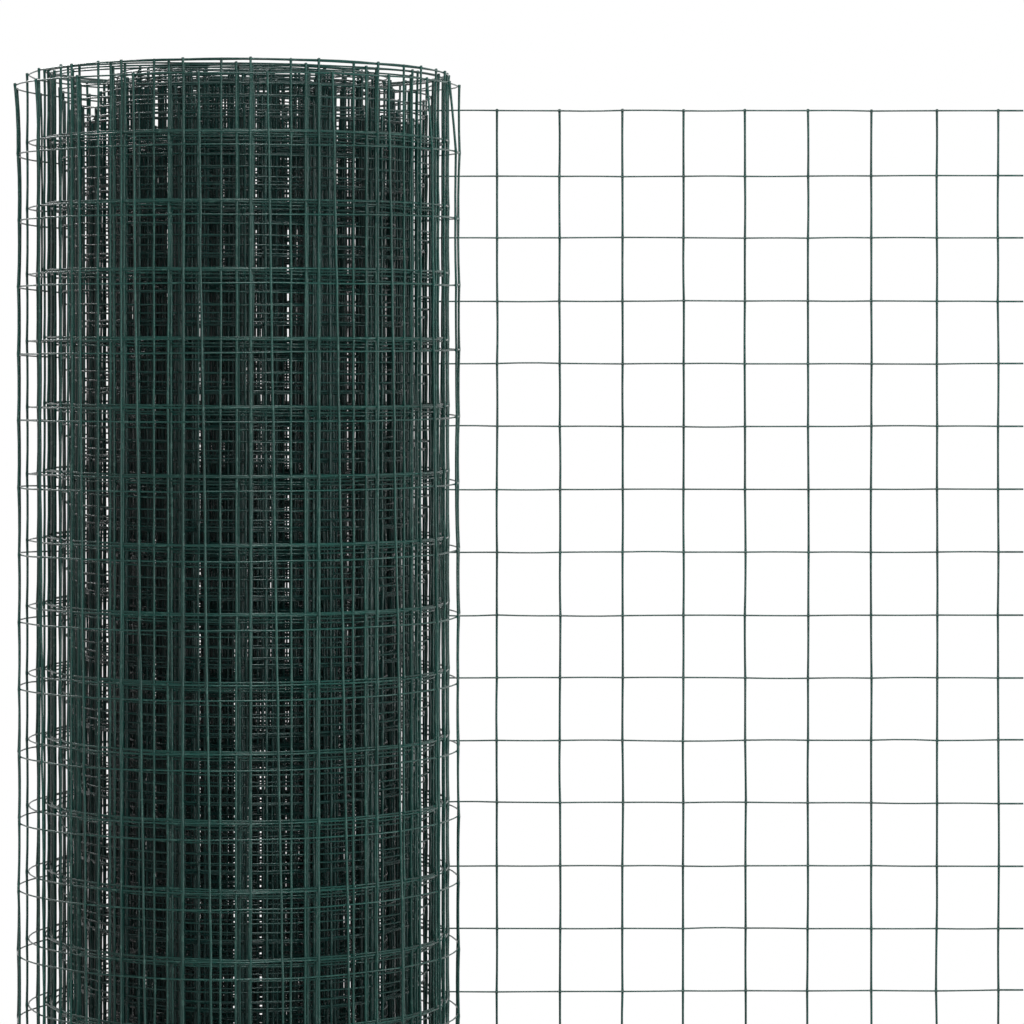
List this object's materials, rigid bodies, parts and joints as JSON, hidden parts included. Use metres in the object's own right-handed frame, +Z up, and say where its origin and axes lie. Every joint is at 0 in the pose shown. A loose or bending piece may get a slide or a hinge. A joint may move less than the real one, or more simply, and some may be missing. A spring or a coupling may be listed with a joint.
{
  "type": "roll of welded wire fencing",
  "caption": "Standing roll of green plastic-coated welded wire mesh with square openings, its flat free end leaving the outermost turn.",
  "frame": {"origin": "on the roll's axis at floor level, where the innermost turns stand", "axes": "+Z up along the roll's axis and bore; the free end leaves the rear (+Y) side and runs towards +X, so that -Y is the side seen in front"},
  "size_m": [0.783, 0.3396, 1.0488],
  "materials": {
    "coated_wire": "steel wire in a satin dark moss-green plastic coating"
  },
  "bodies": {
    "root": {"rolled_mesh": "coated_wire", "free_end_mesh": "coated_wire"}
  },
  "joints": []
}
